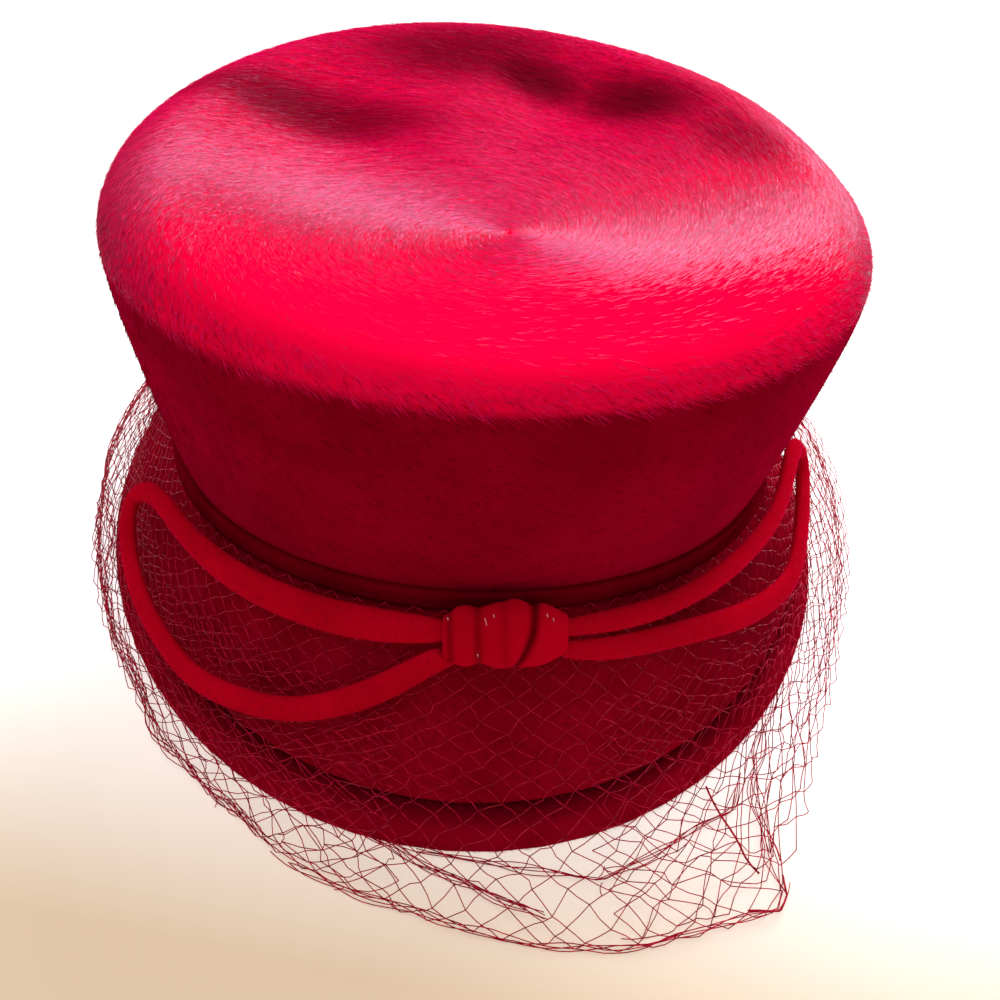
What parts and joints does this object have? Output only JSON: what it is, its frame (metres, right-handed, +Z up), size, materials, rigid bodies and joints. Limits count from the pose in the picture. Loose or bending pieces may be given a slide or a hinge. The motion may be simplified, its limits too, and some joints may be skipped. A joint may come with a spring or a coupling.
{
  "type": "pillbox hat with bow and net veil",
  "caption": "Tall flared pillbox hat of long-napped felt on a sloping base tier and short brim, with a waist band, a flat bow and a wide net veil.",
  "frame": {"origin": "middle of the outer box on the surface that the rim stands on", "axes": "+Z up out of the crown's tip, -Y towards the hat's front where the bow's knot is, X across the hat"},
  "size_m": [0.2162, 0.2558, 0.1136],
  "materials": {
    "crown_felt": "long-napped fur felt, glossy streaks along the nap",
    "base_felt": "long-napped fur felt, darker",
    "bow_felt": "smooth velvety rouleau",
    "veil_net": "fine stiff diamond net thread"
  },
  "bodies": {
    "root": {"crown": "crown_felt", "base": "base_felt", "brim": "base_felt", "waist_band": "bow_felt", "bow_loop_left": "bow_felt", "bow_loop_right": "bow_felt", "bow_knot": "bow_felt", "veil": "veil_net"}
  },
  "joints": []
}
